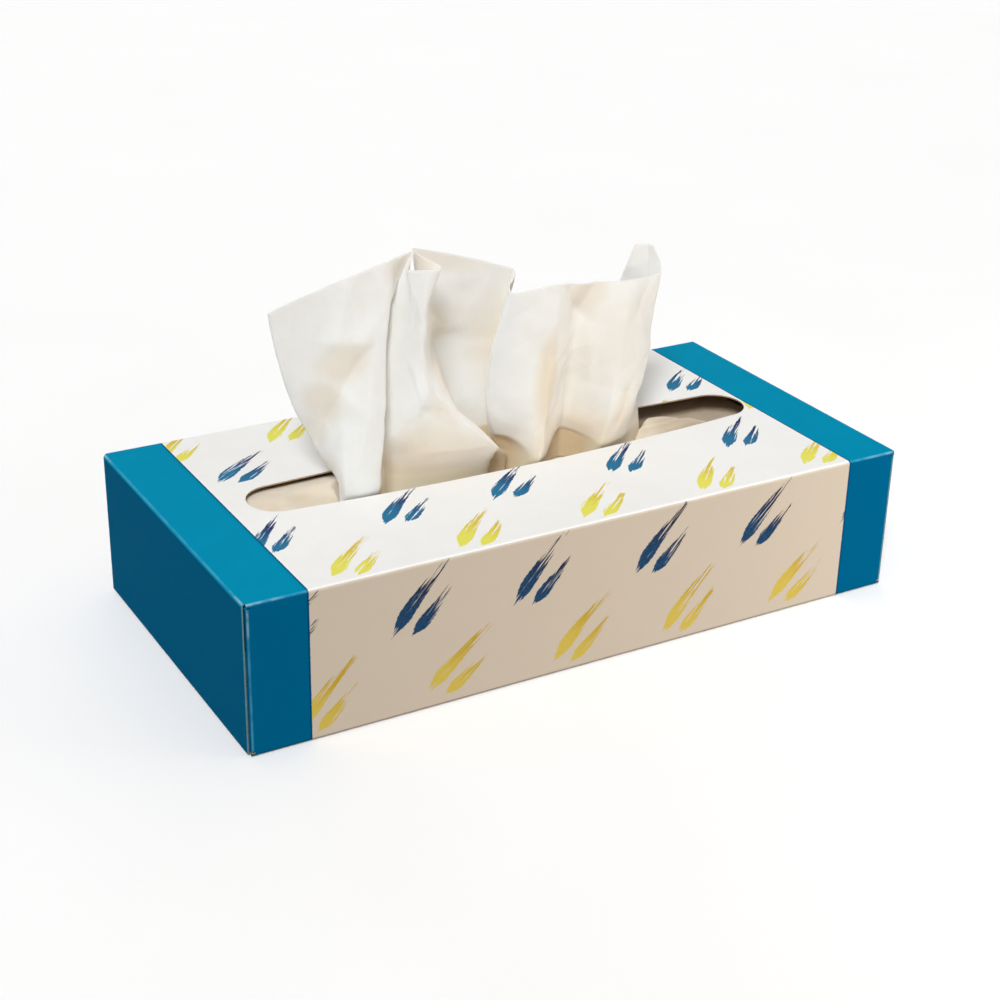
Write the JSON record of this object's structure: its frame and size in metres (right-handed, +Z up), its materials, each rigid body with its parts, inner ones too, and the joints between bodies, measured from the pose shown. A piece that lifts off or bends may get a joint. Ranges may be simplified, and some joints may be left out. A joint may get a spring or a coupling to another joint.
{
  "type": "tissue box",
  "caption": "Flat folded card tissue box with blue end bands, a long slot in the top panel, an interfolded tissue stack inside and one tissue pulled up through the slot.",
  "frame": {"origin": "middle of the carton's underside", "axes": "+X along the carton's length, to the right as seen from the front; +Y from front to back; +Z up"},
  "size_m": [0.235, 0.118, 0.1235],
  "materials": {
    "card": "printed card with a thin satin varnish, blue at both ends and cream between",
    "tissue": "soft white paper tissue",
    "pulled_tissue": "soft white paper tissue, thin enough to let light through"
  },
  "bodies": {
    "root": {"carton": "card", "tissue_stack": "tissue", "popup_tissue": "pulled_tissue"}
  },
  "joints": []
}
